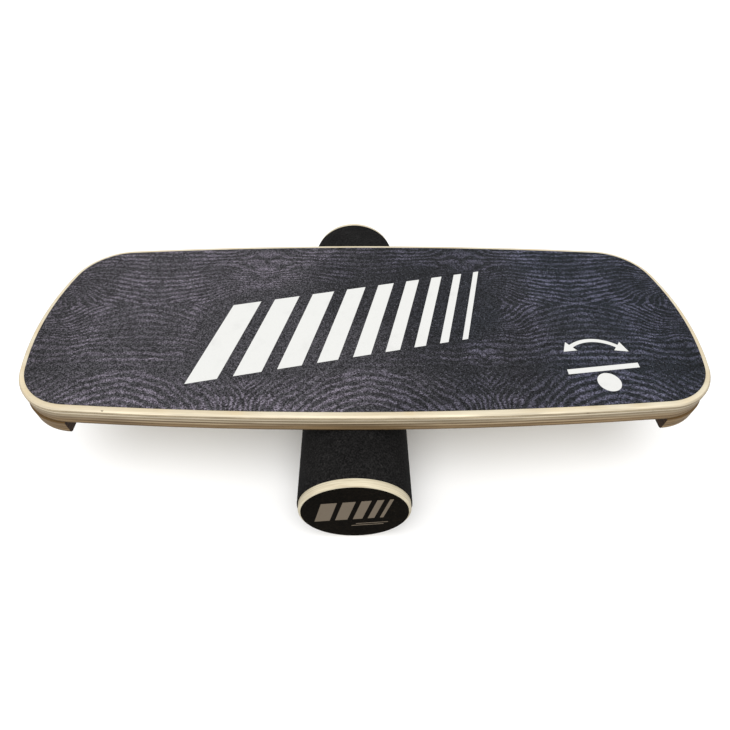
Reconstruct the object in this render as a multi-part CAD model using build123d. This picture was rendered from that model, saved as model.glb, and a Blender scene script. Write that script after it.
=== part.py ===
"""Roller balance board: a plywood deck with two end stops, riding on a covered roller.

Millimetres. +X runs along the deck, +Y along the roller, +Z is up. The origin is on the floor,
under the middle of the whole object.
"""

from build123d import *

import math
import os

# ---- deck ------------------------------------------------------------------------------------
DECK_LENGTH = 800.0
DECK_WIDTH = 303.0
SIDE_RADIUS = 4300.0  # the long sides bulge slightly
END_RADIUS = 355.0  # the two ends bulge more
CORNER_RADIUS = 72.5
PLY_THICKNESS = 2.3
DECK_PLIES = 11
DECK_EDGE_ROUND = 4.0

# ---- printed grip sheet on the deck ----------------------------------------------------------
GRIP_INSET = 7.0  # bare band of wood left round the sheet
GRIP_THICKNESS = 0.8

# ---- end stops under the deck ----------------------------------------------------------------
STOP_PLIES = 8
STOP_INNER_X = 329.5
STOP_CORNER_RADIUS = 65.0  # a little squarer than the deck's corners, flush with it elsewhere
STOP_EDGE_ROUND = 4.0

# ---- countersunk screws through the stops ----------------------------------------------------
SCREW_X = 358.0
SCREW_Y = (-105.0, -35.0, 35.0, 105.0)
SCREW_LENGTH = 36.0
SCREW_RADIUS = 2.0
SCREW_HEAD_RADIUS = 4.2
SCREW_TIP_LENGTH = 4.0
SCREW_TIP_RADIUS = 0.4
RECESS_WIDTH = 0.9
RECESS_SPAN = 4.4
RECESS_DEPTH = 1.4

# ---- roller ----------------------------------------------------------------------------------
ROLLER_LENGTH = 467.0
SLEEVE_RADIUS = 63.5
SLEEVE_THICKNESS = 3.5
CAP_RADIUS = 62.0
CAP_RIM_LENGTH = 8.5  # the part of the cap that stands out past the sleeve
CAP_RIM_ROUND = 3.0
CAP_SPIGOT_LENGTH = 7.0  # the part that plugs into the sleeve's bore
END_GRIP_THICKNESS = 0.8
TUBE_WALL = 4.0
PLUG_THICKNESS = 18.0
PLUG_INSET = 1.0

# ---- fits and where things stand -------------------------------------------------------------
RUNNING_CLEARANCE = 0.05
END_CLEARANCE = 0.4
DECK_CLEARANCE = 0.3  # between the deck's underside and the sleeve
ROLLER_X = -16.0  # the deck stands a little off centre on the roller, both ways
DECK_Y = -17.6

# ---- worked out ------------------------------------------------------------------------------
HALF_LENGTH = DECK_LENGTH / 2
HALF_WIDTH = DECK_WIDTH / 2
DECK_THICKNESS = DECK_PLIES * PLY_THICKNESS
STOP_HEIGHT = STOP_PLIES * PLY_THICKNESS
AXIS_Z = SLEEVE_RADIUS
UNDERSIDE_Z = 2 * SLEEVE_RADIUS + DECK_CLEARANCE
TOP_Z = UNDERSIDE_Z + DECK_THICKNESS
SLEEVE_BORE = SLEEVE_RADIUS - SLEEVE_THICKNESS
SLEEVE_HALF = ROLLER_LENGTH / 2 - END_GRIP_THICKNESS - CAP_RIM_LENGTH
TUBE_RADIUS = SLEEVE_BORE - RUNNING_CLEARANCE
TUBE_BORE = TUBE_RADIUS - TUBE_WALL
TUBE_HALF = SLEEVE_HALF - CAP_SPIGOT_LENGTH - END_CLEARANCE
PLUG_RADIUS = TUBE_BORE - RUNNING_CLEARANCE


def unit(dx, dy):
    """Direction of (dx, dy), one long."""
    length = math.hypot(dx, dy)
    return dx / length, dy / length


def corner_points(inset, corner_radius):
    """First, middle and last point of the corner arc in the +X +Y quarter of an outline.

    The corner arc touches the side arc and the end arc from inside, so its centre lies where two
    circles about their centres meet. Insetting moves no centre, it only shortens the radii.
    """
    side_y = HALF_WIDTH - SIDE_RADIUS
    end_x = HALF_LENGTH - END_RADIUS
    from_side = SIDE_RADIUS - corner_radius
    from_end = END_RADIUS - corner_radius
    gap = math.hypot(end_x, side_y)
    along = (from_side**2 - from_end**2 + gap**2) / (2 * gap)
    across = math.sqrt(from_side**2 - along**2)
    ux, uy = unit(end_x, -side_y)
    centre_x = ux * along + uy * across
    centre_y = side_y + uy * along - ux * across
    radius = corner_radius - inset
    to_side = unit(centre_x, centre_y - side_y)
    to_end = unit(centre_x - end_x, centre_y)
    middle = unit(to_side[0] + to_end[0], to_side[1] + to_end[1])
    return [(centre_x + radius * dx, centre_y + radius * dy) for dx, dy in (to_side, middle, to_end)]


def outline(inset=0.0, corner_radius=CORNER_RADIUS):
    """The deck's outline as a flat face, moved in by inset."""
    first, middle, last = corner_points(inset, corner_radius)

    def quarter(point, sx, sy):
        return sx * point[0], sy * point[1]

    edges = []
    for sy in (1, -1):
        crown = (0, sy * (HALF_WIDTH - inset))
        edges.append(ThreePointArc(quarter(first, -1, sy), crown, quarter(first, 1, sy)))
    for sx in (1, -1):
        crown = (sx * (HALF_LENGTH - inset), 0)
        edges.append(ThreePointArc(quarter(last, sx, 1), crown, quarter(last, sx, -1)))
        for sy in (1, -1):
            corner = (quarter(point, sx, sy) for point in (first, middle, last))
            edges.append(ThreePointArc(*corner))
    return Pos(0, DECK_Y) * make_face(edges)


def slab(low, high):
    """A block as wide as the deck needs, between two heights."""
    return Pos(0, 0, (low + high) / 2) * Box(2 * DECK_LENGTH, 2 * DECK_LENGTH, high - low)


def plies(board, underside, count):
    """The board cut into its glued veneers, the lowest first."""
    heights = [underside + index * PLY_THICKNESS for index in range(count)]
    return [board & slab(height, height + PLY_THICKNESS) for height in heights]


def deck_board():
    """The whole deck, with its top and bottom edges rounded all round."""
    board = extrude(Pos(0, 0, UNDERSIDE_Z) * outline(), DECK_THICKNESS)
    levels = board.edges().group_by(Axis.Z)
    return fillet(levels[0] + levels[-1], DECK_EDGE_ROUND)


def grip_sheet():
    """The sheet stuck on the deck's top."""
    return extrude(Pos(0, 0, TOP_Z) * outline(GRIP_INSET), GRIP_THICKNESS)


def stop_block(side):
    """One end stop: the deck's end, cut straight across, with its lower edge rounded."""
    footprint = outline(corner_radius=STOP_CORNER_RADIUS)
    block = extrude(Pos(0, 0, UNDERSIDE_Z - STOP_HEIGHT) * footprint, STOP_HEIGHT)
    beyond = Pos(side * (STOP_INNER_X + DECK_LENGTH / 2), 0, UNDERSIDE_Z) * Box(
        DECK_LENGTH, 2 * DECK_WIDTH, 4 * STOP_HEIGHT
    )
    block = block & beyond
    lower = block.edges().group_by(Axis.Z)[0]
    outer = lower.filter_by(GeomType.CIRCLE)
    return fillet(outer, STOP_EDGE_ROUND)


def screw():
    """One countersunk screw, pointing up, with its head's face at height 0."""
    head_height = SCREW_HEAD_RADIUS - SCREW_RADIUS
    shank_end = SCREW_LENGTH - SCREW_TIP_LENGTH
    profile = Polyline(
        (0, 0),
        (SCREW_HEAD_RADIUS, 0),
        (SCREW_RADIUS, head_height),
        (SCREW_RADIUS, shank_end),
        (SCREW_TIP_RADIUS, SCREW_LENGTH),
        (0, SCREW_LENGTH),
        close=True,
    )
    return revolve(Plane.XZ * make_face(profile), Axis.Z)


def cross_recess():
    """The driver's cross in a screw's head."""
    bar = Box(RECESS_SPAN, RECESS_WIDTH, 2 * RECESS_DEPTH)
    return bar + Rot(0, 0, 90) * bar


def screw_places(side):
    """Where the screws of one stop stand."""
    return [Pos(side * SCREW_X, DECK_Y + y, UNDERSIDE_Z - STOP_HEIGHT) for y in SCREW_Y]


def on_roller(shape):
    """Turn a shape built along +Z so that it runs along +Y on the roller's axis."""
    return Pos(ROLLER_X, 0, AXIS_Z) * Rot(-90, 0, 0) * shape


def ring(outer, inner, length):
    """A tube about +Z, centred on the origin."""
    return Cylinder(outer, length) - Cylinder(inner, 2 * length)


def end_cap():
    """A turned cap for the +Z end: a rounded rim outside the sleeve, a spigot inside it."""
    spigot = Pos(0, 0, SLEEVE_HALF - CAP_SPIGOT_LENGTH / 2) * Cylinder(SLEEVE_BORE, CAP_SPIGOT_LENGTH)
    rim = Pos(0, 0, SLEEVE_HALF + CAP_RIM_LENGTH / 2) * Cylinder(CAP_RADIUS, CAP_RIM_LENGTH)
    rim = fillet(rim.edges().sort_by(Axis.Z)[-1], CAP_RIM_ROUND)
    return spigot + rim


def end_grip():
    """The printed disc on the +Z cap."""
    height = ROLLER_LENGTH / 2 - END_GRIP_THICKNESS / 2
    return Pos(0, 0, height) * Cylinder(CAP_RADIUS - CAP_RIM_ROUND, END_GRIP_THICKNESS)


def plug():
    """The disc that stiffens the +Z end of the core tube."""
    height = TUBE_HALF - PLUG_INSET - PLUG_THICKNESS / 2
    return Pos(0, 0, height) * Cylinder(PLUG_RADIUS, PLUG_THICKNESS)


def build_deck():
    """Every piece that travels with the deck, by node name."""
    nodes = {"grip_sheet": grip_sheet()}
    places = {"left": screw_places(-1), "right": screw_places(1)}
    screws = [place * screw() for group in places.values() for place in group]
    recess = cross_recess()

    for number, ply in enumerate(plies(deck_board(), UNDERSIDE_Z, DECK_PLIES), start=1):
        nodes[f"deck_ply_{number:02d}"] = ply - screws

    for name, side in (("left", -1), ("right", 1)):
        block = stop_block(side) - screws
        layers = plies(block, UNDERSIDE_Z - STOP_HEIGHT, STOP_PLIES)
        for number, ply in enumerate(layers, start=1):
            nodes[f"stop_{name}_ply_{number}"] = ply
        driven = [place * (screw() - recess) for place in places[name]]
        nodes[f"stop_screws_{name}"] = Compound(children=driven)
    return nodes


def build_roller():
    """Every piece of the roller, by node name."""
    nodes = {
        "core_tube": on_roller(ring(TUBE_RADIUS, TUBE_BORE, 2 * TUBE_HALF)),
        "roller_sleeve": on_roller(ring(SLEEVE_RADIUS, SLEEVE_BORE, 2 * SLEEVE_HALF)),
    }
    # the front end is the one at -Y
    for name, turn in (("front", Rot(180, 0, 0)), ("rear", Rot(0, 0, 0))):
        nodes[f"tube_plug_{name}"] = on_roller(turn * plug())
        nodes[f"end_cap_{name}"] = on_roller(turn * end_cap())
        nodes[f"end_grip_{name}"] = on_roller(turn * end_grip())
    return nodes


def main():
    os.makedirs("parts", exist_ok=True)
    for name, shape in {**build_deck(), **build_roller()}.items():
        export_step(shape, f"parts/{name}.step")


main()
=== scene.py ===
"""Looks of the roller balance board: finishes for the CAD pieces, the prints, a studio and a camera.

Everything is in metres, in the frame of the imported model: +X along the deck, +Y along the roller,
+Z up, with the origin on the floor under the middle of the object.
"""

import logging
import math
from dataclasses import dataclass, field
from enum import Enum
from typing import Iterable

import bmesh
import bpy
from mathutils import Matrix, Vector


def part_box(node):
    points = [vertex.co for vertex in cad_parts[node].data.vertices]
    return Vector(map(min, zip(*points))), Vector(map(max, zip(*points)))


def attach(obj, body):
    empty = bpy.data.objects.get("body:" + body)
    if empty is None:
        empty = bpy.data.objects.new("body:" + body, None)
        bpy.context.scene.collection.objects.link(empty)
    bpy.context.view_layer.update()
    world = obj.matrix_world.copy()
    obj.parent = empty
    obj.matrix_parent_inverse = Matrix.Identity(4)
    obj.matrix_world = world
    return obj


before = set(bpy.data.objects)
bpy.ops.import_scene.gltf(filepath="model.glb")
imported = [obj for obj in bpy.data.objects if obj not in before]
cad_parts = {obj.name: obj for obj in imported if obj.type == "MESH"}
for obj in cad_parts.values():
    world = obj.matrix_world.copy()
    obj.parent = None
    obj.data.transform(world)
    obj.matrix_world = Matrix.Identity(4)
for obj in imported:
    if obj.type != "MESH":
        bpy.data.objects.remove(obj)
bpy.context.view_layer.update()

LOG = logging.getLogger("balance_board")
MM = 0.001

Colour = tuple[float, float, float]
Point = tuple[float, float]
Socket = bpy.types.NodeSocket
Value = float | Socket

WHITE: Colour = (1.0, 1.0, 1.0)
NOISE_MIDDLE = 0.5


def linear(red: int, green: int, blue: int) -> Colour:
    """Give the linear colour of an 8-bit display colour.

    Args:
        red: Red, 0 to 255.
        green: Green, 0 to 255.
        blue: Blue, 0 to 255.

    Returns:
        The three channels in linear light.
    """
    shares = (channel / 255 for channel in (red, green, blue))
    return tuple(s / 12.92 if s <= 0.04045 else ((s + 0.055) / 1.055) ** 2.4 for s in shares)


class Body(Enum):
    """The moving bodies that the prints ride on."""

    DECK = "deck"
    ROLLER = "roller"


class End(Enum):
    """The two ends of the roller, each with the sign of its side along Y."""

    FRONT = -1
    REAR = 1

    @property
    def node_suffix(self) -> str:
        """The word that ends the names of this end's nodes."""
        return self.name.lower()


# ---- material graphs ---------------------------------------------------------------------------


@dataclass(frozen=True)
class Grain:
    """One layer of noise in a finish: how fine it is, and what its values are turned into."""

    scale: float  # features in one unit of length
    detail: float = 2.0  # how many finer layers are added
    roughness: float = 0.5  # how strong the finer layers are
    span: Point = (0.3, 0.7)  # the noise values that give the first and the last shade
    shades: Point = (0.0, 1.0)


@dataclass(frozen=True)
class Specks:
    """Single grains in a finish: each cell has its own shade, and a few cells get a painted glint.
    """

    scale: float  # cells in one unit of length
    shades: Point  # the darkest and the lightest cell
    core: Point  # how far from a cell's middle its painted glint begins to fade, and ends
    chance: Point  # the cell's random number from which its painted glint begins to show, and shows fully
    share: float  # how far a painted glint goes to its own colour
    # the colour of the painted glints
    colour: Colour


class Graph:
    """The node tree of one material, with a short call for each kind of node used here."""

    def __init__(self, name: str, **constants: float) -> None:
        """Start a material with one principled shader.

        Args:
            name: The material's name.
            **constants: Values for the shader's own sockets, underscores standing for spaces.
        """
        self.material = bpy.data.materials.new(name)
        self.material.use_nodes = True
        self.tree = self.material.node_tree
        self.shader = self.tree.nodes["Principled BSDF"]
        for socket, value in constants.items():
            self.shader.inputs[socket.replace("_", " ")].default_value = value
        places = self.tree.nodes.new("ShaderNodeTexCoord")
        self.spot = places.outputs["Object"]
        self.normal = places.outputs["Normal"]

    def feed(self, socket: Socket, value: Value | Colour) -> None:
        """Link a socket to another, or give it a constant.

        Args:
            socket: The input to fill.
            value: An output socket, a number, or a colour.
        """
        if isinstance(value, Socket):
            self.tree.links.new(value, socket)
        elif isinstance(value, tuple) and len(socket.default_value) == 4:
            socket.default_value = (*value, 1.0)
        else:
            socket.default_value = value

    def split(self, vector: Socket) -> tuple[Socket, ...]:
        """Take a vector apart.

        Args:
            vector: The vector, or a colour.

        Returns:
            Its x, y and z.
        """
        node = self.tree.nodes.new("ShaderNodeSeparateXYZ")
        self.feed(node.inputs[0], vector)
        return tuple(node.outputs)

    def join(self, x: Value, y: Value, z: Value) -> Socket:
        """Put a vector together.

        Args:
            x: Its first part.
            y: Its second part.
            z: Its third part.

        Returns:
            The vector's socket.
        """
        node = self.tree.nodes.new("ShaderNodeCombineXYZ")
        for socket, value in zip(node.inputs, (x, y, z)):
            self.feed(socket, value)
        return node.outputs[0]

    def place(self) -> tuple[Socket, ...]:
        """Give the x, y and z of the surface point, in the piece's own space."""
        return self.split(self.spot)

    def facing(self) -> tuple[Socket, ...]:
        """Give how far the surface faces along x, y and z, each from 0 to 1."""
        return tuple(self.size(part) for part in self.split(self.normal))

    def math(self, operation: str, *values: Value, clamp: bool = False) -> Socket:
        """Give the result of one arithmetic node.

        Args:
            operation: The node's operation.
            *values: Its inputs in order.
            clamp: Whether the result is kept from 0 to 1.

        Returns:
            The result's socket.
        """
        node = self.tree.nodes.new("ShaderNodeMath")
        node.operation = operation
        node.use_clamp = clamp
        for socket, value in zip(node.inputs, values):
            self.feed(socket, value)
        return node.outputs[0]

    def plus(self, first: Value, second: Value) -> Socket:
        """Give first plus second."""
        return self.math("ADD", first, second)

    def minus(self, first: Value, second: Value) -> Socket:
        """Give first less second."""
        return self.math("SUBTRACT", first, second)

    def times(self, first: Value, second: Value) -> Socket:
        """Give first times second."""
        return self.math("MULTIPLY", first, second)

    def over(self, first: Value, second: Value) -> Socket:
        """Give first divided by second."""
        return self.math("DIVIDE", first, second)

    def line(self, value: Value, slope: Value, start: Value) -> Socket:
        """Give start plus slope times value."""
        return self.math("MULTIPLY_ADD", value, slope, start)

    def size(self, value: Value) -> Socket:
        """Give value without its sign."""
        return self.math("ABSOLUTE", value)

    def sign(self, value: Value) -> Socket:
        """Give 1 above zero and -1 below it."""
        return self.math("SIGN", value)

    def fold(self, value: Value, width: Value) -> Socket:
        """Give value folded back and forth between 0 and width."""
        return self.math("PINGPONG", value, width)

    def ramp(
        self, value: Value, low: Value, high: Value, start: float = 0.0, end: float = 1.0
    ) -> Socket:
        """Give a smooth step from start to end while value goes from low to high.

        Args:
            value: What drives the step.
            low: Where the step begins.
            high: Where the step ends.
            start: The result below low.
            end: The result above high.

        Returns:
            The result's socket.
        """
        node = self.tree.nodes.new("ShaderNodeMapRange")
        node.interpolation_type = "SMOOTHSTEP"
        for socket, amount in zip(node.inputs, (value, low, high, start, end)):
            self.feed(socket, amount)
        return node.outputs[0]

    def noise(self, vector: Socket, grain: Grain) -> Socket:
        """Give smooth noise, mostly between 0.25 and 0.75.

        Args:
            vector: Where the noise is read.
            grain: How fine it is.

        Returns:
            The noise value's socket.
        """
        node = self.tree.nodes.new("ShaderNodeTexNoise")
        self.feed(node.inputs["Vector"], vector)
        self.feed(node.inputs["Scale"], grain.scale)
        self.feed(node.inputs["Detail"], grain.detail)
        self.feed(node.inputs["Roughness"], grain.roughness)
        return node.outputs["Fac"]

    def shades(self, noise: Socket, grain: Grain) -> Socket:
        """Give noise turned into its grain's shades."""
        return self.ramp(noise, *grain.span, *grain.shades)

    def patches(self, vector: Socket, grain: Grain) -> Socket:
        """Give the shades of a noise that is used only once."""
        return self.shades(self.noise(vector, grain), grain)

    def mix(self, share: Value, first: Value | Colour, second: Value | Colour) -> Socket:
        """Mix two colours.

        Args:
            share: How far the result goes from first to second.
            first: The colour at 0.
            second: The colour at 1.

        Returns:
            The mixed colour's socket.
        """
        node = self.tree.nodes.new("ShaderNodeMix")
        node.data_type = "RGBA"
        share_socket, first_socket, second_socket = node.inputs[0], node.inputs[6], node.inputs[7]
        self.feed(share_socket, share)
        self.feed(first_socket, first)
        self.feed(second_socket, second)
        return node.outputs[2]

    def tint(self, colour: Socket, tone: Socket) -> Socket:
        """Multiply one colour by another.

        Args:
            colour: The colour to change.
            tone: The colour to multiply it by.

        Returns:
            The changed colour's socket.
        """
        product = self.mix(1.0, colour, tone)
        product.node.blend_type = "MULTIPLY"
        return product

    def shade(self, colour: Socket, amount: Value) -> Socket:
        """Give colour made lighter or darker, amount being the factor."""
        return self.tint(colour, self.join(amount, amount, amount))

    def speckle_and_glint(self, colour: Socket, specks: Specks) -> Socket:
        """Break a colour up into single grains, a few with a painted glint.

        Args:
            colour: The colour under the specks.
            specks: The grains and their painted glints.

        Returns:
            The speckled colour's socket.
        """
        node = self.tree.nodes.new("ShaderNodeTexVoronoi")
        self.feed(node.inputs["Vector"], self.spot)
        self.feed(node.inputs["Scale"], specks.scale)
        distance, chance = node.outputs["Distance"], self.split(node.outputs["Color"])[0]
        colour = self.shade(colour, self.ramp(chance, 0.0, 1.0, *specks.shades))
        # painted glint: a bright spot in the middle of a few cells
        spot = self.ramp(distance, *specks.core, 1, 0)
        bright = self.times(spot, self.ramp(chance, *specks.chance))
        return self.mix(self.times(bright, specks.share), colour, specks.colour)

    def finish(
        self,
        colour: Socket,
        roughness: Socket | None = None,
        relief: Socket | None = None,
        depth: float = 0.2 * MM,
    ) -> bpy.types.Material:
        """Wire the results into the shader.

        Args:
            colour: The base colour.
            roughness: The roughness, where it varies.
            relief: The height of the surface, from 0 to 1.
            depth: How far relief stands out.

        Returns:
            The finished material.
        """
        self.feed(self.shader.inputs["Base Color"], colour)
        if roughness is not None:
            self.feed(self.shader.inputs["Roughness"], roughness)
        if relief is not None:
            bump = self.tree.nodes.new("ShaderNodeBump")
            bump.inputs["Distance"].default_value = depth
            self.feed(bump.inputs["Height"], relief)
            self.feed(self.shader.inputs["Normal"], bump.outputs[0])
        return self.material


# ---- finishes ----------------------------------------------------------------------------------


@dataclass(frozen=True)
class PlywoodFinish:
    """Lacquered plywood: face veneer on the flats, layered edges with painted shade, browner lower
    down.
    """

    name: str
    datum: float  # a height at which one veneer ends and the next begins
    veneer: float  # thickness of one veneer
    plies: int  # how many veneers stand above the datum
    middle: float  # where the deck's middle stands along X
    long_grain: Colour = linear(213, 201, 176)
    end_grain: Colour = linear(168, 150, 120)
    end_grain_share: float = 0.8
    glue: Colour = linear(92, 72, 50)
    glue_fade: Point = (0.07, 0.19)  # where a glue line's edge fades, in shares of a veneer
    glue_waver: float = 0.08
    glue_breaks: Grain = Grain(30.0, span=(0.35, 0.6), shades=(0.25, 0.75))
    knot: Colour = linear(64, 46, 32)
    knots: Grain = Grain(60.0, 1.0, span=(0.755, 0.79))
    sweep: Grain = Grain(8.0, 3.0, shades=(0.72, 1.18))
    streak: Grain = Grain(16.0, 4.0, 0.6, shades=(0.80, 1.12))
    streak_squeeze: float = 45.0  # how many times finer the streaks are across the veneers
    pores: Grain = Grain(900.0, 1.0, span=(0.52, 0.72), shades=(0.0, 0.4))
    # painted shade: the lower veneers darkened and browned, fading out upwards with a waver
    painted_lower_shade: Colour = (0.47, 0.37, 0.26)
    painted_shade_fade: Point = (0.22, 0.90)  # where it begins and ends to fade, in shares of the thickness
    painted_shade_waver: float = 0.25
    # painted shade on the stops' inner faces and on the ledge under the deck's edge
    painted_hollow_tone: Colour = (0.19, 0.13, 0.07)
    face_light: Colour = linear(211, 201, 177)
    face_dark: Colour = linear(194, 176, 143)
    figure: Grain = Grain(2.4, 2.0, 0.4)
    figure_squeeze: float = 4.5  # how many times finer the figure is across the deck
    figure_rings: float = 17.0
    figure_share: float = 0.5
    honey: Colour = linear(214, 184, 128)
    honey_patches: Grain = Grain(18.0, span=(0.52, 0.75), shades=(0.0, 0.35))
    face_pores: Grain = Grain(1500.0, shades=(0.93, 1.05))
    face_pore_run: float = 0.04  # how fine they are along the deck, against across it

    def edge(self, graph: Graph) -> tuple[Socket, Socket]:
        """Colour the cut edge: crossed veneers, glue lines, streaks, knots and painted shade lower
        down.

        Args:
            graph: The material being made.

        Returns:
            The edge's colour, and its relief from 0 to 1.
        """
        x, y, z = graph.place()
        across_x, across_y, _ = graph.facing()
        layer = graph.over(graph.minus(z, self.datum), self.veneer)
        index = graph.math("FLOOR", layer)
        crossed = graph.fold(index, 1.0)
        # the outer veneers run along the deck, so its long sides show them as long grain
        ends_y = graph.times(crossed, across_y)
        ends_x = graph.times(graph.minus(1.0, crossed), across_x)
        shown_end = graph.math("ADD", ends_y, ends_x, clamp=True)
        # uneven steps from veneer to veneer, so that each one reads its own stretch of noise
        own = graph.join(x, y, graph.times(index, 0.37))
        own_knots = graph.join(x, y, graph.times(index, 1.91))
        sweep = graph.noise(own, self.sweep)
        streak = graph.noise(graph.join(x, y, graph.times(z, self.streak_squeeze)), self.streak)
        pores = graph.patches(graph.join(x, y, graph.times(z, 1.5)), self.pores)

        end_share = graph.times(shown_end, self.end_grain_share)
        wood = graph.mix(end_share, self.long_grain, self.end_grain)
        wood = graph.shade(wood, graph.shades(sweep, self.sweep))
        wood = graph.shade(wood, graph.shades(streak, self.streak))
        wood = graph.mix(graph.times(pores, shown_end), wood, self.glue)
        joint = graph.plus(graph.fold(layer, 0.5), graph.times(streak, self.glue_waver))
        line = graph.ramp(joint, *self.glue_fade, 1, 0)
        wood = graph.mix(graph.times(line, graph.patches(own, self.glue_breaks)), wood, self.glue)
        wood = graph.mix(graph.patches(own_knots, self.knots), wood, self.knot)
        # painted shade: the edge turns darker and browner towards the deck's underside
        waver = graph.times(graph.minus(sweep, NOISE_MIDDLE), self.painted_shade_waver)
        share = graph.plus(graph.over(layer, self.plies), waver)
        tone = graph.mix(graph.ramp(share, *self.painted_shade_fade), self.painted_lower_shade, WHITE)
        relief = graph.minus(streak, graph.times(line, 0.5))
        return graph.tint(wood, tone), relief

    def face(self, graph: Graph) -> Socket:
        """Colour the flats: the waving figure of peeled veneer, with fine pores along it.

        Args:
            graph: The material being made.

        Returns:
            The face's colour.
        """
        x, y, _ = graph.place()
        figure = graph.noise(graph.join(x, graph.times(y, self.figure_squeeze), 0.7), self.figure)
        rings = graph.fold(graph.times(figure, self.figure_rings), 1.0)
        figured = graph.times(graph.ramp(rings, 0.1, 1.0), self.figure_share)
        wood = graph.mix(figured, self.face_light, self.face_dark)
        wood = graph.mix(graph.patches(graph.join(x, y, 0.3), self.honey_patches), wood, self.honey)
        along = graph.join(graph.times(x, self.face_pore_run), y, 0.0)
        return graph.shade(wood, graph.patches(along, self.face_pores))

    def painted_hollow_shade(self, graph: Graph) -> Socket:
        """Give the painted shade on the stops' inner faces and on the ledge under the deck's edge.

        Args:
            graph: The material being made.

        Returns:
            The colour to multiply by, white elsewhere.
        """
        x, _, z = graph.place()
        normal_x, _, normal_z = graph.split(graph.normal)
        outward = graph.times(graph.sign(graph.minus(x, self.middle)), normal_x)
        inner_face = graph.ramp(outward, -0.9, -0.6, 1.0, 0.0)
        ledge = graph.ramp(normal_z, 0.6, 0.9)
        below = graph.ramp(z, self.datum + 0.3 * MM, self.datum + 0.6 * MM, 1.0, 0.0)
        share = graph.times(graph.math("MAXIMUM", inner_face, ledge), below)
        return graph.mix(share, WHITE, self.painted_hollow_tone)

    def material(self) -> bpy.types.Material:
        """Make the plywood, face and edge in one material.

        Returns:
            The finished material.
        """
        graph = Graph(self.name, Roughness=0.5, IOR=1.45, Specular_IOR_Level=0.22)
        edge, relief = self.edge(graph)
        flat = graph.ramp(graph.facing()[2], 0.80, 0.98)
        # the painted shade of the hollows darkens face and edge alike
        colour = graph.tint(graph.mix(flat, edge, self.face(graph)), self.painted_hollow_shade(graph))
        return graph.finish(colour, relief=relief, depth=0.12 * MM)


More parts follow.
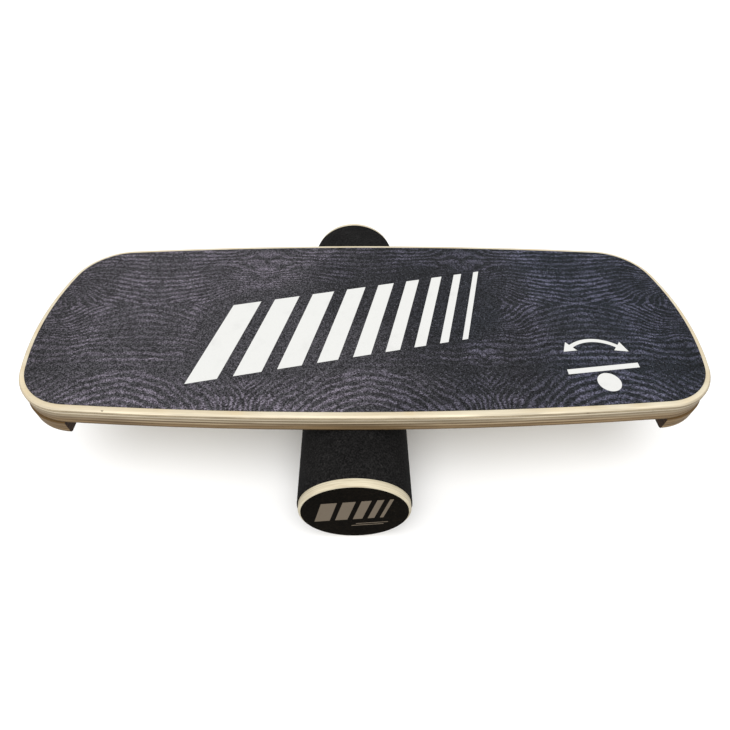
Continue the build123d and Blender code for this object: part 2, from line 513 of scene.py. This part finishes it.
@dataclass(frozen=True)
class GripFinish:
    """Gritty dark sheet printed with mirrored wavy stripes, under painted sheen and painted shade.
    """

    name: str
    centre: Point
    # painted sheen and shade: lighter and dusky violet at -X, darker and slate towards +X, along a
    # wavering line
    ground_with_painted_sheen: Colour = linear(50, 49, 52)
    ground_with_painted_shade: Colour = linear(24, 28, 33)
    stripe_with_painted_sheen: Colour = linear(88, 83, 92)
    stripe_with_painted_shade: Colour = linear(68, 69, 84)
    painted_sheen_fade: Point = (-200 * MM, 330 * MM)  # where the painted sheen begins and ends to give way to painted shade
    painted_sheen_slant: float = 0.6  # how far that line leans for each unit across the deck
    drift: Grain = Grain(7.0)
    drift_reach: float = 0.5

    mirror: float = 134.5 * MM  # how far apart the axes of the bundles are
    crossing: Point = (-1.0 * MM, 22.0 * MM)
    pitch: float = 9.2 * MM
    bow: float = 3.8  # how fast the stripes bend, in one over metres
    slant: float = 0.16  # how steeply they leave a bundle's axis
    spread: float = 0.9
    spread_fade: Point = (8 * MM, 72 * MM)  # how far from the crossing the bending fades
    spread_left: float = 0.14
    lower_bundle: float = -88.0 * MM
    lower_edge: float = 5 * MM
    lower_spread: float = 0.95
    lower_top: float = 6 * MM  # above its axis
    lower_gap: Point = (3 * MM, 16 * MM)  # stripes fade this near to the lower bundle's top

    sway: Grain = Grain(17.0, 1.0, 0.4)
    sway_reach: float = 6 * MM
    sway_growth: float = 5.5  # how fast the reach grows away from the axis, in one over metres
    wiggle: Grain = Grain(110.0, 2.0, 0.6)
    wiggle_reach: float = 5.0 * MM
    widths: Grain = Grain(90.0, span=(0.32, 0.68), shades=(0.14, 0.44))
    stripe_edge: Point = (-0.16, 0.18)
    fading: Grain = Grain(17.0, 1.0, span=(0.34, 0.62), shades=(0.35, 1.0))

    calm_centre: Point = (-22.0 * MM, 3.0 * MM)
    calm_half: Point = (186.0 * MM, 78.0 * MM)
    calm_rise: float = 0.2  # the calm patch climbs to the right like the bars printed on it
    calm_edge: Point = (0.7, 1.5)
    calm_left: float = 0.15

    painted_shade_band: float = 50.0 * MM  # painted shade is darkest here, on a line leaning across the sheet's middle
    painted_shade_reach: Point = (30 * MM, 180 * MM)
    painted_shade_factors: Point = (0.76, 1.18)
    # painted shade towards both ends of the sheet
    painted_end_shade_reach: Point = (300 * MM, 385 * MM)
    painted_end_shade: float = 0.72
    grit: Grain = Grain(820.0, 2.0, 0.8, shades=(0.25, 1.85))
    # painted glints: a few grains of grit drawn as light grey spots
    specks: Specks = Specks(
        820.0, (0.25, 1.75), (0.15, 0.40), (0.95, 0.99), 0.45, linear(180, 180, 188)
    )

    def lift(self, graph: Graph, u: Value, y: Value) -> Socket:
        """Give how far a stripe has bent away from its height at the bundle's axis.

        Stripes spread from the crossing, upwards above it and downwards below it. They run flat
        further off, and bend down again in the lower bundle.

        Args:
            graph: The material being made.
            u: Distance from the bundle's axis.
            y: Place across the deck, from its middle.

        Returns:
            The height lost, in metres.
        """
        bend = graph.times(graph.line(u, self.bow, self.slant), u)
        above = graph.minus(y, self.crossing[1])
        near = graph.ramp(graph.size(above), *self.spread_fade, 1.0, self.spread_left)
        spread = graph.times(graph.sign(above), graph.times(near, -self.spread))
        low, high = self.lower_bundle - self.lower_edge, self.lower_bundle + self.lower_edge
        lower = graph.ramp(y, low, high, self.lower_spread, 0.0)
        return graph.times(bend, graph.plus(spread, lower))

    def stripes(self, graph: Graph) -> Socket:
        """Give how strongly the stripe colour shows, from 0 to 1.

        Args:
            graph: The material being made.

        Returns:
            The share of stripe colour.
        """
        x, y, _ = graph.place()
        x = graph.minus(x, self.centre[0])
        y = graph.minus(y, self.centre[1])
        u = graph.fold(graph.minus(x, self.crossing[0]), self.mirror)
        folded = graph.join(u, y, 0.0)
        sway = graph.minus(graph.noise(folded, self.sway), NOISE_MIDDLE)
        reach = graph.line(graph.times(u, u), self.sway_growth, self.sway_reach)
        wiggle = graph.minus(graph.noise(folded, self.wiggle), NOISE_MIDDLE)
        height = graph.plus(y, self.lift(graph, u, y))
        height = graph.line(sway, reach, height)
        height = graph.line(wiggle, self.wiggle_reach, height)
        wave = graph.fold(graph.over(height, self.pitch), 0.5)
        width = graph.patches(graph.join(graph.times(u, 0.5), y, 0.31), self.widths)
        band = graph.ramp(graph.minus(wave, width), *self.stripe_edge)
        patch = graph.patches(graph.join(u, y, 0.77), self.fading)
        gap = graph.size(graph.minus(y, self.lower_bundle + self.lower_top))
        strength = graph.times(patch, graph.ramp(gap, *self.lower_gap, self.fading.shades[0], 1.0))
        return graph.times(graph.times(band, strength), self.calm(graph, x, y))

    def calm(self, graph: Graph, x: Value, y: Value) -> Socket:
        """Give how strongly stripes show near the middle, where they fade round the printed bars.

        Args:
            graph: The material being made.
            x: Place along the deck, from its middle.
            y: Place across the deck, from its middle.

        Returns:
            The share of the stripes that stays.
        """
        climb = graph.minus(y, graph.times(x, self.calm_rise))
        parts = []
        for place, centre, half in zip((x, climb), self.calm_centre, self.calm_half):
            share = graph.over(graph.minus(place, centre), half)
            square = graph.times(share, share)
            parts.append(graph.times(square, square))
        return graph.ramp(graph.plus(*parts), *self.calm_edge, self.calm_left, 1.0)

    def material(self) -> bpy.types.Material:
        """Make the printed grip sheet.

        Returns:
            The finished material.
        """
        graph = Graph(self.name, Roughness=0.85, IOR=1.4, Specular_IOR_Level=0.3)
        x, y, _ = graph.place()
        drift = graph.minus(graph.noise(graph.spot, self.drift), NOISE_MIDDLE)
        climb = graph.line(y, self.painted_sheen_slant, graph.line(drift, self.drift_reach, x))
        # painted sheen fades into painted shade along the deck, in the ground and the stripes alike
        painted_shade_share = graph.ramp(climb, *self.painted_sheen_fade)
        ground = graph.mix(painted_shade_share, self.ground_with_painted_sheen, self.ground_with_painted_shade)
        stripe = graph.mix(painted_shade_share, self.stripe_with_painted_sheen, self.stripe_with_painted_shade)
        colour = graph.mix(self.stripes(graph), ground, stripe)
        # painted shade in a leaning band across the middle, and towards both ends
        beside = graph.size(graph.minus(climb, self.painted_shade_band))
        colour = graph.shade(colour, graph.ramp(beside, *self.painted_shade_reach, *self.painted_shade_factors))
        colour = graph.shade(colour, graph.ramp(graph.size(x), *self.painted_end_shade_reach, 1.0, self.painted_end_shade))
        grit = graph.noise(graph.spot, self.grit)
        colour = graph.shade(colour, graph.shades(grit, self.grit))
        return graph.finish(graph.speckle_and_glint(colour, self.specks), relief=grit, depth=0.25 * MM)


@dataclass(frozen=True)
class InkFinish:
    """Flat ink over grit: almost one colour, with the grit still showing through."""

    name: str
    colour: Colour
    worn: Colour
    grit: Grain = Grain(1300.0, 2.0, 0.6, span=(0.55, 0.8), shades=(0.0, 0.5))
    blotch: Grain = Grain(60.0, span=(0.5, 0.8), shades=(0.0, 0.2))

    def material(self) -> bpy.types.Material:
        """Make the ink.

        Returns:
            The finished material.
        """
        graph = Graph(self.name, Roughness=0.75, IOR=1.4)
        grit = graph.noise(graph.spot, self.grit)
        worn = graph.plus(graph.shades(grit, self.grit), graph.patches(graph.spot, self.blotch))
        return graph.finish(graph.mix(worn, self.colour, self.worn), relief=grit, depth=0.12 * MM)


@dataclass(frozen=True)
class SleeveFinish:
    """Matt black covering with a fine pebbled surface."""

    name: str
    dark: Colour = linear(15, 15, 15)
    light: Colour = linear(42, 41, 41)
    roughness: float = 0.7
    gloss: float = 0.03
    pebble: Grain = Grain(520.0, 3.0, 0.75, span=(0.35, 0.72))
    cloud: Grain = Grain(24.0, 3.0, shades=(0.85, 1.15))
    # painted glints: a few grains drawn as grey spots
    specks: Specks = Specks(560.0, (0.8, 1.2), (0.10, 0.35), (0.92, 0.98), 0.3, linear(88, 84, 80))

    def material(self) -> bpy.types.Material:
        """Make the covering.

        Returns:
            The finished material.
        """
        graph = Graph(self.name, Roughness=self.roughness, IOR=1.45, Specular_IOR_Level=self.gloss)
        pebble = graph.noise(graph.spot, self.pebble)
        colour = graph.mix(graph.shades(pebble, self.pebble), self.dark, self.light)
        colour = graph.shade(colour, graph.patches(graph.spot, self.cloud))
        return graph.finish(graph.speckle_and_glint(colour, self.specks), relief=pebble, depth=0.10 * MM)


@dataclass(frozen=True)
class TurnedWoodFinish:
    """Pale wood turned on a lathe: layers along the roller's axis, a fine tool polish."""

    name: str
    light: Colour = linear(216, 206, 180)
    dark: Colour = linear(146, 126, 92)
    layer: float = 2.3 * MM
    ripple: Grain = Grain(26.0)
    ripple_reach: float = 1.6 * MM
    streak: Grain = Grain(35.0, 3.0, 0.6, span=(0.35, 0.8), shades=(0.0, 0.55))
    streak_squeeze: float = 30.0  # how many times finer the streaks are along the roller
    line_width: float = 0.16  # of a layer
    line_share: float = 0.30

    def material(self) -> bpy.types.Material:
        """Make the turned wood.

        Returns:
            The finished material.
        """
        graph = Graph(self.name, Roughness=0.42, IOR=1.45, Specular_IOR_Level=0.35)
        x, y, z = graph.place()
        depth = graph.plus(y, graph.times(graph.noise(graph.spot, self.ripple), self.ripple_reach))
        line = graph.ramp(graph.fold(graph.over(depth, self.layer), 0.5), 0.0, self.line_width, 1, 0)
        streak = graph.noise(graph.join(x, graph.times(y, self.streak_squeeze), z), self.streak)
        wood = graph.mix(graph.shades(streak, self.streak), self.light, self.dark)
        wood = graph.mix(graph.times(line, self.line_share), wood, self.dark)
        return graph.finish(wood, relief=streak, depth=0.08 * MM)


@dataclass(frozen=True)
class PlatedSteelFinish:
    """Zinc-plated steel with faint scratches and dull patches."""

    name: str
    bright: Colour = linear(190, 192, 196)
    dull: Colour = linear(140, 140, 138)
    patch: Grain = Grain(420.0, 3.0, span=(0.35, 0.7))
    roughness: Point = (0.28, 0.5)
    scratch: Grain = Grain(2600.0)

    def material(self) -> bpy.types.Material:
        """Make the plated steel.

        Returns:
            The finished material.
        """
        graph = Graph(self.name, Metallic=1.0, IOR=1.5)
        patch = graph.noise(graph.spot, self.patch)
        colour = graph.mix(graph.shades(patch, self.patch), self.bright, self.dull)
        roughness = graph.ramp(patch, 0.3, 0.7, *self.roughness)
        return graph.finish(colour, roughness, graph.noise(graph.spot, self.scratch), 0.02 * MM)


@dataclass(frozen=True)
class TubeFinish:
    """Spiral-wound board tube: grey-brown, with a faint winding line."""

    name: str
    light: Colour = linear(150, 132, 108)
    dark: Colour = linear(116, 98, 76)
    fibre: Grain = Grain(240.0, 4.0, 0.6)
    turn: float = 90 * MM
    line_width: float = 0.02  # of a turn
    line_shade: float = 0.6

    def material(self) -> bpy.types.Material:
        """Make the wound tube.

        Returns:
            The finished material.
        """
        graph = Graph(self.name, Roughness=0.85, IOR=1.4)
        x, y, z = graph.place()
        angle = graph.over(graph.math("ARCTAN2", z, x), math.tau)
        wound = graph.fold(graph.plus(graph.over(y, self.turn), angle), 0.5)
        fibre = graph.noise(graph.spot, self.fibre)
        colour = graph.mix(graph.shades(fibre, self.fibre), self.light, self.dark)
        colour = graph.shade(colour, graph.ramp(wound, 0.0, self.line_width, self.line_shade, 1.0))
        return graph.finish(colour, relief=fibre, depth=0.1 * MM)


@dataclass(frozen=True)
class FloorFinish:
    """A plain pale studio floor, very slightly mottled."""

    name: str
    light: Colour = (0.93, 0.93, 0.93)
    dark: Colour = (0.90, 0.90, 0.90)
    mottle: Grain = Grain(3.0, 3.0)

    def material(self) -> bpy.types.Material:
        """Make the floor.

        Returns:
            The finished material.
        """
        graph = Graph(self.name, Roughness=0.9, IOR=1.3)
        return graph.finish(graph.mix(graph.noise(graph.spot, self.mottle), self.light, self.dark))


# ---- meshes ------------------------------------------------------------------------------------


def link(name: str, data: bpy.types.ID) -> bpy.types.Object:
    """Make an object of a mesh, a light or a camera, and link it into the scene.

    Args:
        name: The object's name.
        data: What it shows.

    Returns:
        The object.
    """
    made = bpy.data.objects.new(name, data)
    bpy.context.scene.collection.objects.link(made)
    return made


def mesh_piece(name: str, mesh: bmesh.types.BMesh) -> bpy.types.Object:
    """Make an object of a working mesh, which is freed.

    Args:
        name: The object's name.
        mesh: The working mesh.

    Returns:
        The object.
    """
    data = bpy.data.meshes.new(name)
    mesh.to_mesh(data)
    mesh.free()
    return link(name, data)


@dataclass(frozen=True)
class Sheet:
    """A plane that flat outlines are laid on: an origin, two directions in it and one out of it."""

    origin: Vector
    right: Vector
    up: Vector
    out: Vector

    def point(self, place: Point, height: float = 0.0) -> Vector:
        """Give the point in space of a place on the sheet, standing height proud of it."""
        return self.origin + self.right * place[0] + self.up * place[1] + self.out * height


@dataclass(frozen=True)
class BarRow:
    """A row of leaning bars, each thinner than the one before it."""

    foot: Point  # the first bar's lower left corner
    widths: Point  # how wide the first and the last bar are, measured level
    count: int
    gap: float
    height: float
    lean: float  # how far right a bar moves for each unit of height
    rise: float  # how far up the row goes for each unit to the right


@dataclass
class Motif:
    """Flat shapes printed together as one piece: each is a closed film of ink on a sheet."""

    name: str
    film: float  # how thick the ink is
    outlines: list[list[Point]] = field(default_factory=list)

    def bar(self, foot: Point, width: float, height: float, lean: float, rise: float) -> None:
        """Add a bar, with its two ends cut along a rising line.

        Args:
            foot: The bar's lower left corner.
            width: How wide it is, measured level.
            height: How high it is.
            lean: How far right it moves for each unit of height.
            rise: How far up the end cuts go for each unit to the right.
        """
        x, y = foot
        shift, lift = height * lean, width * rise
        corners = ((0, 0), (width, lift), (width + shift, lift + height), (shift, height))
        self.outlines.append([(x + right, y + up) for right, up in corners])

    def bar_row(self, row: BarRow) -> None:
        """Add a row of thinning bars.

        Args:
            row: The bars.
        """
        x, y = row.foot
        first, last = row.widths
        for number in range(row.count):
            width = first + (last - first) * number / (row.count - 1)
            self.bar((x, y), width, row.height, row.lean, row.rise)
            x, y = x + width + row.gap, y + (width + row.gap) * row.rise

    def band(self, centre: Point, inner: float, outer: float, start: float, end: float) -> None:
        """Add a curved band.

        Args:
            centre: The middle of its arc.
            inner: The inner radius.
            outer: The outer radius.
            start: The first angle, in degrees.
            end: The last angle, in degrees.
        """
        self.outlines.append(arc(centre, outer, start, end) + arc(centre, inner, start, end)[::-1])

    def disc(self, centre: Point, radius: float) -> None:
        """Add a round spot."""
        self.outlines.append(arc(centre, radius, 0, 360)[:-1])

    def arrow_head(self, tip: Point, heading: float, length: float, width: float) -> None:
        """Add an arrow head.

        Args:
            tip: Its point.
            heading: Where it points, in degrees anticlockwise from the right.
            length: How long it is.
            width: How wide its back is.
        """
        ahead = Vector((math.cos(math.radians(heading)), math.sin(math.radians(heading))))
        aside = Vector((-ahead.y, ahead.x)) * width / 2
        back = Vector(tip) - ahead * length
        self.outlines.append([tuple(tip), tuple(back + aside), tuple(back - aside)])

    def build(self, sheet: Sheet) -> bpy.types.Object:
        """Build the films on a sheet.

        Args:
            sheet: The plane that the ink lies on.

        Returns:
            The new object.
        """
        mesh = bmesh.new()
        for outline in self.outlines:
            base = [mesh.verts.new(sheet.point(place)) for place in outline]
            cap = [mesh.verts.new(sheet.point(place, self.film)) for place in outline]
            mesh.faces.new(cap)
            mesh.faces.new(base[::-1])
            for index, corner in enumerate(base):
                after = (index + 1) % len(base)
                mesh.faces.new((corner, base[after], cap[after], cap[index]))
        return mesh_piece(self.name, mesh)


def arc(centre: Point, radius: float, start: float, end: float, step: float = 5.0) -> list[Point]:
    """Give evenly spaced points on an arc.

    Args:
        centre: The middle of the arc.
        radius: Its radius.
        start: The first angle, in degrees.
        end: The last angle, in degrees.
        step: The widest gap between points, in degrees.

    Returns:
        The points, anticlockwise from start to end.
    """
    count = max(1, math.ceil((end - start) / step))
    angles = (math.radians(start + (end - start) * index / count) for index in range(count + 1))
    return [(centre[0] + radius * math.cos(a), centre[1] + radius * math.sin(a)) for a in angles]


# ---- sub-assemblies ----------------------------------------------------------------------------


def dress(nodes: Iterable[str], material: bpy.types.Material) -> list[str]:
    """Give CAD nodes a material in place of the plain one they came with.

    Args:
        nodes: The nodes' names.
        material: Their new material.

    Returns:
        The names, for the log.
    """
    names = list(nodes)
    for name in names:
        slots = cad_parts[name].data.materials
        for index in range(len(slots)):
            slots[index] = material
    return names


@dataclass
class Deck:
    """The plywood deck with its end stops, their screws and the grip sheet."""

    plies: int = 11
    stop_plies: int = 8

    @property
    def underside(self) -> float:
        """How high the deck's underside is."""
        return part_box("deck_ply_01")[0].z

    @property
    def top(self) -> float:
        """How high the top of the grip sheet is."""
        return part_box("grip_sheet")[1].z

    @property
    def centre(self) -> Point:
        """The middle of the deck's top, seen from above."""
        low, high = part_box("grip_sheet")
        return (low.x + high.x) / 2, (low.y + high.y) / 2

    @property
    def veneer(self) -> float:
        """How thick one veneer is."""
        low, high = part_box("deck_ply_06")
        return high.z - low.z

    def plywood_nodes(self) -> list[str]:
        """Name the CAD nodes that are veneers.

        Returns:
            The names, the deck's own veneers first.
        """
        names = [f"deck_ply_{number:02d}" for number in range(1, self.plies + 1)]
        for side in ("left", "right"):
            names += [f"stop_{side}_ply_{number}" for number in range(1, self.stop_plies + 1)]
        return names

    def dress(self) -> list[str]:
        """Finish the veneers, the screws and the grip sheet.

        Returns:
            The names of the pieces dressed.
        """
        wood = PlywoodFinish("pale_plywood", self.underside, self.veneer, self.plies, self.centre[0])
        steel = PlatedSteelFinish("zinc_plate")
        grip = GripFinish("striped_grip", self.centre)
        names = dress(self.plywood_nodes(), wood.material())
        names += dress(("stop_screws_left", "stop_screws_right"), steel.material())
        return names + dress(("grip_sheet",), grip.material())


@dataclass
class DeckPrint:
    """The white print on the grip sheet: leaning bars that thin out, and a small rocking sign."""

    deck: Deck
    ink: Colour = linear(214, 214, 211)
    worn_ink: Colour = linear(186, 186, 184)
    film: float = 0.15 * MM
    bars: BarRow = BarRow(
        (-201 * MM, -106 * MM), (34 * MM, 7 * MM), 9, 17 * MM, 128 * MM, 0.26, 0.21
    )
    sign_centre: Point = (266 * MM, -86 * MM)
    swing_radius: float = 44 * MM
    swing_stroke: float = 5 * MM
    swing_span: tuple[float, float] = (52.0, 128.0)
    arrow_length: float = 14 * MM
    arrow_width: float = 17 * MM
    board_length: float = 84 * MM
    board_stroke: float = 7 * MM
    board_tilt: float = 0.12
    wheel_radius: float = 13 * MM

    def sheet(self) -> Sheet:
        """Give the top of the grip sheet, with its middle as origin.

        Returns:
            The sheet, facing up.
        """
        x, y = self.deck.centre
        origin = Vector((x, y, self.deck.top))
        return Sheet(origin, Vector((1, 0, 0)), Vector((0, 1, 0)), Vector((0, 0, 1)))

    def bars_motif(self) -> Motif:
        """Give the leaning bars across the middle of the deck.

        Returns:
            The bars as one motif.
        """
        motif = Motif("print_bars", self.film)
        motif.bar_row(self.bars)
        return motif

    def sign_motif(self) -> Motif:
        """Give the sign: a tilted board on a wheel, under a two-headed arrow.

        Returns:
            The sign as one motif.
        """
        motif = Motif("print_rocking_sign", self.film)
        x, y = self.sign_centre
        start, end = self.swing_span
        half_stroke = self.swing_stroke / 2
        inner, outer = self.swing_radius - half_stroke, self.swing_radius + half_stroke
        motif.band((x, y), inner, outer, start, end)
        for angle, turn in ((start, -90), (end, 90)):
            away = math.radians(angle)
            along = math.radians(angle + turn)
            tip = (
                x + self.swing_radius * math.cos(away) + self.arrow_length * math.cos(along),
                y + self.swing_radius * math.sin(away) + self.arrow_length * math.sin(along),
            )
            motif.arrow_head(tip, angle + turn, self.arrow_length, self.arrow_width)
        drop = self.board_length * self.board_tilt / 2
        foot = (x - self.board_length / 2, y - drop - self.board_stroke / 2)
        motif.bar(foot, self.board_length, self.board_stroke, 0.0, self.board_tilt)
        motif.disc((x, y - self.board_stroke - self.wheel_radius), self.wheel_radius)
        return motif

    def build(self) -> list[bpy.types.Object]:
        """Build the two prints on the grip sheet.

        Returns:
            The new pieces, riding on the deck.
        """
        white = InkFinish("white_ink", self.ink, self.worn_ink).material()
        pieces = [motif.build(self.sheet()) for motif in (self.bars_motif(), self.sign_motif())]
        for piece in pieces:
            piece.data.materials.append(white)
            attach(piece, Body.DECK.value)
        return pieces


@dataclass
class Roller:
    """The covered roller: tube, plugs, sleeve, turned caps and the discs on them."""

    disc_dark: Colour = linear(6, 5, 3)
    disc_light: Colour = linear(24, 19, 13)
    disc_roughness: float = 0.85
    disc_gloss: float = 0.05
    plug_light: Colour = linear(206, 182, 140)
    plug_dark: Colour = linear(160, 130, 88)

    def dress(self) -> list[str]:
        """Finish every CAD node of the roller.

        Returns:
            The names of the pieces dressed.
        """
        ends = [end.node_suffix for end in End]
        sleeve = SleeveFinish("pebbled_sleeve")
        cap = TurnedWoodFinish("turned_wood")
        disc = SleeveFinish(
            "disc_grip", self.disc_dark, self.disc_light, self.disc_roughness, self.disc_gloss
        )
        plug = TurnedWoodFinish("plug_wood", self.plug_light, self.plug_dark)
        names = dress(("roller_sleeve",), sleeve.material())
        names += dress((f"end_cap_{end}" for end in ends), cap.material())
        names += dress((f"end_grip_{end}" for end in ends), disc.material())
        names += dress((f"tube_plug_{end}" for end in ends), plug.material())
        return names + dress(("core_tube",), TubeFinish("wound_tube").material())


@dataclass
class EndPrint:
    """The taupe print on one end disc: the deck's thinning bars again, over two thin lines."""

    end: End
    ink: Colour = linear(116, 104, 88)
    worn_ink: Colour = linear(92, 82, 68)
    film: float = 0.12 * MM
    bars: BarRow = BarRow((-45 * MM, -19 * MM), (17 * MM, 4 * MM), 5, 6 * MM, 43 * MM, 0.22, 0.13)
    lines: int = 2
    line_foot: Point = (1 * MM, -26 * MM)
    line_length: float = 36 * MM
    line_width: float = 1.4 * MM
    line_gap: float = 5 * MM

    def sheet(self) -> Sheet:
        """Give the outer face of the disc, with its middle as origin.

        Returns:
            The sheet, facing away from the roller.
        """
        low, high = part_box(f"end_grip_{self.end.node_suffix}")
        face_y = low.y if self.end is End.FRONT else high.y
        origin = Vector(((low.x + high.x) / 2, face_y, (low.z + high.z) / 2))
        out = Vector((0, self.end.value, 0))
        return Sheet(origin, Vector((-self.end.value, 0, 0)), Vector((0, 0, 1)), out)

    def motif(self) -> Motif:
        """Give the bars and the thin lines.

        Returns:
            Both as one motif.
        """
        motif = Motif(f"print_disc_{self.end.node_suffix}", self.film)
        motif.bar_row(self.bars)
        for number in range(self.lines):
            step = number * self.line_gap
            foot = (self.line_foot[0] - step, self.line_foot[1] - step)
            motif.bar(foot, self.line_length, self.line_width, self.bars.lean, self.bars.rise)
        return motif

    def build(self) -> bpy.types.Object:
        """Build the print on its disc.

        Returns:
            The new piece, riding on the roller.
        """
        piece = self.motif().build(self.sheet())
        taupe = InkFinish(f"taupe_ink_{self.end.node_suffix}", self.ink, self.worn_ink)
        piece.data.materials.append(taupe.material())
        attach(piece, Body.ROLLER.value)
        return piece


# ---- studio ------------------------------------------------------------------------------------


@dataclass(frozen=True)
class SoftBox:
    """One large soft light, aimed at a point."""

    name: str
    place: tuple[float, float, float]
    target: tuple[float, float, float]
    size: tuple[float, float]
    watts: float

    def build(self) -> bpy.types.Object:
        """Hang the light.

        Returns:
            The light object.
        """
        data = bpy.data.lights.new(self.name, "AREA")
        data.shape = "RECTANGLE"
        data.size, data.size_y = self.size
        data.energy = self.watts
        light = link(self.name, data)
        light.location = self.place
        aim = Vector(self.target) - Vector(self.place)
        light.rotation_euler = aim.to_track_quat("-Z", "Y").to_euler()
        return light


@dataclass(frozen=True)
class Ceiling:
    """A wide glow far above the camera's side: soft light of one strength over the whole floor."""

    name: str
    strength: float
    spread: float  # in degrees
    lean: tuple[float, float]  # degrees from straight above, towards +X and towards the camera

    def build(self) -> bpy.types.Object:
        """Put the ceiling up.

        Returns:
            The light object.
        """
        data = bpy.data.lights.new(self.name, "SUN")
        data.energy = self.strength
        data.angle = math.radians(self.spread)
        light = link(self.name, data)
        light.rotation_euler = (math.radians(self.lean[1]), math.radians(self.lean[0]), 0.0)
        return light


@dataclass
class Studio:
    """Pale floor, soft lights, even surroundings and the camera."""

    floor_half: float = 12.0
    floor_drop: float = 0.1 * MM
    ambient: float = 0.58
    lens: float = 24.26
    sensor: float = 36.0
    shift: Point = (0.002, 0.0088)
    camera_place: tuple[float, float, float] = (-0.0143, -0.4655, 0.5701)
    heading: float = 1.397  # degrees to the right of +Y
    down_tilt: float = 49.25
    roll: float = -0.817
    lights: tuple[SoftBox | Ceiling, ...] = (
        Ceiling("ceiling", 2.65, 60.0, (-3.0, 27.0)),
        SoftBox("side_sheen", (-1.6, 0.3, 1.3), (-0.1, 0.0, 0.15), (0.9, 1.4), 1.5),
    )

    def build_floor(self) -> bpy.types.Object:
        """Lay the floor just under the object.

        Returns:
            The floor.
        """
        mesh = bmesh.new()
        half = self.floor_half
        corners = ((-half, -half), (half, -half), (half, half), (-half, half))
        mesh.faces.new([mesh.verts.new((x, y, -self.floor_drop)) for x, y in corners])
        floor = mesh_piece("studio_floor", mesh)
        floor.data.materials.append(FloorFinish("studio_floor").material())
        # the floor throws no light back, so that the object's sides and lower edges stay darker
        floor.visible_diffuse = floor.visible_glossy = floor.visible_shadow = False
        return floor

    def build_surroundings(self) -> None:
        """Light the scene evenly from all round, and show colours as they are."""
        world = bpy.data.worlds.new("studio_air")
        world.use_nodes = True
        sky = world.node_tree.nodes["Background"]
        sky.inputs["Color"].default_value = (*WHITE, 1.0)
        sky.inputs["Strength"].default_value = self.ambient
        bpy.context.scene.world = world
        bpy.context.scene.view_settings.view_transform = "Standard"

    def build_camera(self) -> bpy.types.Object:
        """Set up the camera and make it the scene's own.

        Returns:
            The camera object.
        """
        data = bpy.data.cameras.new("camera")
        data.lens = self.lens
        data.sensor_width = self.sensor
        data.shift_x, data.shift_y = self.shift
        camera = link("camera", data)
        turn = Matrix.Rotation(math.radians(-self.heading), 4, "Z")
        turn @= Matrix.Rotation(math.radians(90 - self.down_tilt), 4, "X")
        turn @= Matrix.Rotation(math.radians(-self.roll), 4, "Z")
        camera.matrix_world = Matrix.Translation(self.camera_place) @ turn
        bpy.context.scene.camera = camera
        return camera

    def build(self) -> None:
        """Build the whole studio."""
        self.build_floor()
        for light in self.lights:
            light.build()
        self.build_surroundings()
        self.build_camera()


def main() -> None:
    """Build every sub-assembly in order and report its pieces."""
    logging.basicConfig(level=logging.INFO, format="%(name)s: %(message)s")
    deck = Deck()
    LOG.info("deck: %s", ", ".join(deck.dress()))
    LOG.info("roller: %s", ", ".join(Roller().dress()))
    for piece in DeckPrint(deck).build():
        LOG.info("print: %s, %d faces", piece.name, len(piece.data.polygons))
    for end in End:
        piece = EndPrint(end).build()
        LOG.info("print: %s, %d faces", piece.name, len(piece.data.polygons))
    Studio().build()


if __name__ == "__main__":
    main()
